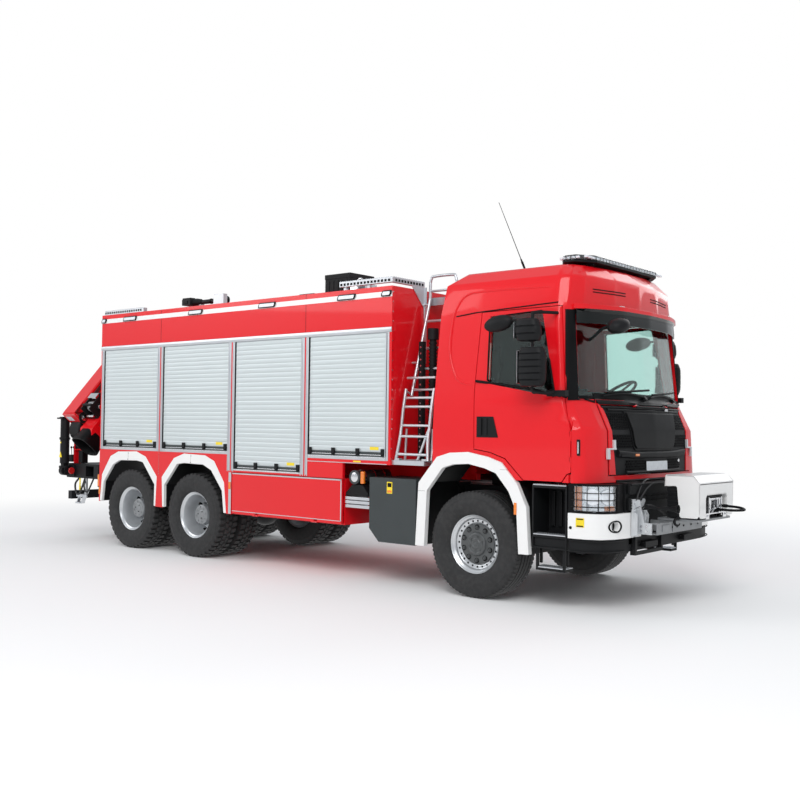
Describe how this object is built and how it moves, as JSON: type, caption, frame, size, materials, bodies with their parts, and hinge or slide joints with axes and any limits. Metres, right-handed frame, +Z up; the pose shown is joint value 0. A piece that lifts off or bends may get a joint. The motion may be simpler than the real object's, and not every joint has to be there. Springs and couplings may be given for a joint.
{
  "type": "heavy rescue truck",
  "caption": "Three-axle heavy rescue truck with a day cab, a shuttered equipment body, a front winch and a folded loader crane.",
  "frame": {"origin": "under the middle of the overall length and width, on the ground", "axes": "+X forward, +Y to the vehicle's left, +Z up"},
  "size_m": [9.813, 3.05, 4.1037],
  "materials": {
    "red_paint": "gloss",
    "white_paint": "gloss",
    "silver_alloy": "satin",
    "clear_glass": "gloss",
    "lamp_glass": "gloss",
    "tyre_rubber": "matte",
    "rim_steel": "satin",
    "frame_steel": "satin",
    "dark_plastic": "matte",
    "seat_cloth": "matte"
  },
  "bodies": {
    "chassis": {"body_shell": "red_paint", "body_trim": "silver_alloy", "bumper": "white_paint", "cab_roof_gear": "dark_plastic", "cab_shell": "red_paint", "cab_steps": "dark_plastic", "chassis_frame": "frame_steel", "crane_base": "red_paint", "dashboard": "dark_plastic", "engine": "frame_steel", "front_axle": "frame_steel", "front_flares": "white_paint", "front_gear": "frame_steel", "front_panel": "dark_plastic", "headlamps": "lamp_glass", "ladder": "silver_alloy", "mudguards": "dark_plastic", "rear_axles": "frame_steel", "rear_bar": "frame_steel", "rear_flares": "white_paint", "roof_gear": "silver_alloy", "seats": "seat_cloth", "shutters": "silver_alloy", "side_boxes": "dark_plastic", "winch_cover": "white_paint", "windscreen": "clear_glass"},
    "knuckle_right": {"knuckle_right": "frame_steel"},
    "knuckle_left": {"knuckle_left": "frame_steel"},
    "front_wheel_right": {"front_tyre_right": "tyre_rubber", "front_rim_right": "rim_steel"},
    "front_wheel_left": {"front_tyre_left": "tyre_rubber", "front_rim_left": "rim_steel"},
    "mid_wheels_right": {"mid_tyres_right": "tyre_rubber", "mid_rims_right": "rim_steel"},
    "mid_wheels_left": {"mid_tyres_left": "tyre_rubber", "mid_rims_left": "rim_steel"},
    "rear_wheels_right": {"rear_tyres_right": "tyre_rubber", "rear_rims_right": "rim_steel"},
    "rear_wheels_left": {"rear_tyres_left": "tyre_rubber", "rear_rims_left": "rim_steel"},
    "steering_wheel": {"steering_wheel": "dark_plastic"},
    "door_right": {"door_right": "red_paint", "door_glass_right": "clear_glass", "mirrors_right": "dark_plastic"},
    "door_left": {"door_left": "red_paint", "door_glass_left": "clear_glass", "mirrors_left": "dark_plastic"},
    "front_hatch": {"front_hatch": "dark_plastic"},
    "flap_right": {"flap_right": "red_paint"},
    "flap_left": {"flap_left": "red_paint"},
    "light_mast": {"light_mast": "frame_steel"},
    "boom_inner": {"boom_inner": "red_paint"},
    "boom_outer": {"boom_outer": "red_paint"},
    "boom_extension": {"boom_extension": "frame_steel"},
    "lift_barrel": {"lift_barrel": "frame_steel"},
    "lift_rod": {"lift_rod": "frame_steel"},
    "outrigger_beam_right": {"outrigger_beam_right": "frame_steel"},
    "outrigger_beam_left": {"outrigger_beam_left": "frame_steel"},
    "outrigger_leg_right": {"outrigger_leg_right": "frame_steel"},
    "outrigger_leg_left": {"outrigger_leg_left": "frame_steel"}
  },
  "joints": [
    {"name": "steer_right", "type": "hinge", "parent": "chassis", "child": "knuckle_right", "pos_m": [2.6635, -0.86, 0.535], "axis": [0, 0, 1], "range_deg": [-35, 35]},
    {"name": "steer_left", "type": "hinge", "parent": "chassis", "child": "knuckle_left", "pos_m": [2.6635, 0.86, 0.535], "axis": [0, 0, 1], "range_deg": [-35, 35]},
    {"name": "front_spin_right", "type": "hinge", "parent": "knuckle_right", "child": "front_wheel_right", "pos_m": [2.6635, -1.0505, 0.535], "axis": [0, 1, 0], "continuous": true},
    {"name": "front_spin_left", "type": "hinge", "parent": "knuckle_left", "child": "front_wheel_left", "pos_m": [2.6635, 1.0505, 0.535], "axis": [0, 1, 0], "continuous": true},
    {"name": "mid_spin_right", "type": "hinge", "parent": "chassis", "child": "mid_wheels_right", "pos_m": [-1.7165, -0.92, 0.535], "axis": [0, 1, 0], "continuous": true},
    {"name": "mid_spin_left", "type": "hinge", "parent": "chassis", "child": "mid_wheels_left", "pos_m": [-1.7165, 0.92, 0.535], "axis": [0, 1, 0], "continuous": true},
    {"name": "rear_spin_right", "type": "hinge", "parent": "chassis", "child": "rear_wheels_right", "pos_m": [-3.0665, -0.92, 0.535], "axis": [0, 1, 0], "continuous": true},
    {"name": "rear_spin_left", "type": "hinge", "parent": "chassis", "child": "rear_wheels_left", "pos_m": [-3.0665, 0.92, 0.535], "axis": [0, 1, 0], "continuous": true},
    {"name": "steering_wheel_turn", "type": "hinge", "parent": "chassis", "child": "steering_wheel", "pos_m": [3.2806, 0.62, 2.09], "axis": [-0.5736, 0, 0.8192], "range_deg": [-525, 525]},
    {"name": "door_right_hinge", "type": "hinge", "parent": "chassis", "child": "door_right", "pos_m": [3.78105, -1.238, 1.5], "axis": [0, 0, 1], "range_deg": [0, 75]},
    {"name": "door_left_hinge", "type": "hinge", "parent": "chassis", "child": "door_left", "pos_m": [3.78105, 1.238, 1.5], "axis": [0, 0, -1], "range_deg": [0, 75]},
    {"name": "front_hatch_hinge", "type": "hinge", "parent": "chassis", "child": "front_hatch", "pos_m": [3.97376, 0, 1.936], "axis": [0, -1, 0], "range_deg": [0, 60]},
    {"name": "flap_right_hinge", "type": "hinge", "parent": "chassis", "child": "flap_right", "pos_m": [-0.0365, -1.263, 0.612], "axis": [1, 0, 0], "range_deg": [0, 90]},
    {"name": "flap_left_hinge", "type": "hinge", "parent": "chassis", "child": "flap_left", "pos_m": [-0.0365, 1.263, 0.612], "axis": [-1, 0, 0], "range_deg": [0, 90]},
    {"name": "light_mast_tilt", "type": "hinge", "parent": "chassis", "child": "light_mast", "pos_m": [-1.5765, -0.9, 3.32], "axis": [0, 1, 0], "range_deg": [0, 90]},
    {"name": "boom_lift", "type": "hinge", "parent": "chassis", "child": "boom_inner", "pos_m": [-4.5615, 0.1, 3.1], "axis": [-1, 0, 0], "range_deg": [0, 70]},
    {"name": "boom_fold", "type": "hinge", "parent": "boom_inner", "child": "boom_outer", "pos_m": [-4.2315, -0.97023, 1.65025], "axis": [1, 0, 0], "range_deg": [0, 150]},
    {"name": "boom_extend", "type": "slide", "parent": "boom_outer", "child": "boom_extension", "axis": [0, 0.6521, 0.7581], "range_m": [0, 0.9]},
    {"name": "lift_barrel_swing", "type": "hinge", "parent": "chassis", "child": "lift_barrel", "pos_m": [-4.5615, -0.27, 1.35], "axis": [1, 0, 0], "range_deg": [0, 18.7]},
    {"name": "lift_rod_stroke", "type": "slide", "parent": "lift_barrel", "child": "lift_rod", "axis": [0, 0.1128, 0.9936], "range_m": [0, 0.539]},
    {"name": "outrigger_beam_right_slide", "type": "slide", "parent": "chassis", "child": "outrigger_beam_right", "axis": [0, -1, 0], "range_m": [0, 0.9]},
    {"name": "outrigger_beam_left_slide", "type": "slide", "parent": "chassis", "child": "outrigger_beam_left", "axis": [0, 1, 0], "range_m": [0, 0.9]},
    {"name": "outrigger_leg_right_swing", "type": "hinge", "parent": "outrigger_beam_right", "child": "outrigger_leg_right", "pos_m": [-4.8235, -1.1756, 0.985], "axis": [1, 0, 0], "range_deg": [0, 180]},
    {"name": "outrigger_leg_left_swing", "type": "hinge", "parent": "outrigger_beam_left", "child": "outrigger_leg_left", "pos_m": [-4.2679, 1.1756, 0.985], "axis": [-1, 0, 0], "range_deg": [0, 180]}
  ],
  "couplings": [
    {"joint": "steer_left", "follows": "steer_right", "ratio": 1},
    {"joint": "steering_wheel_turn", "follows": "steer_right", "ratio": 14.9},
    {"joint": "lift_barrel_swing", "follows": "boom_lift", "ratio": 0.2524},
    {"joint": "lift_rod_stroke", "follows": "boom_lift", "m_per_rad": 0.4331}
  ]
}
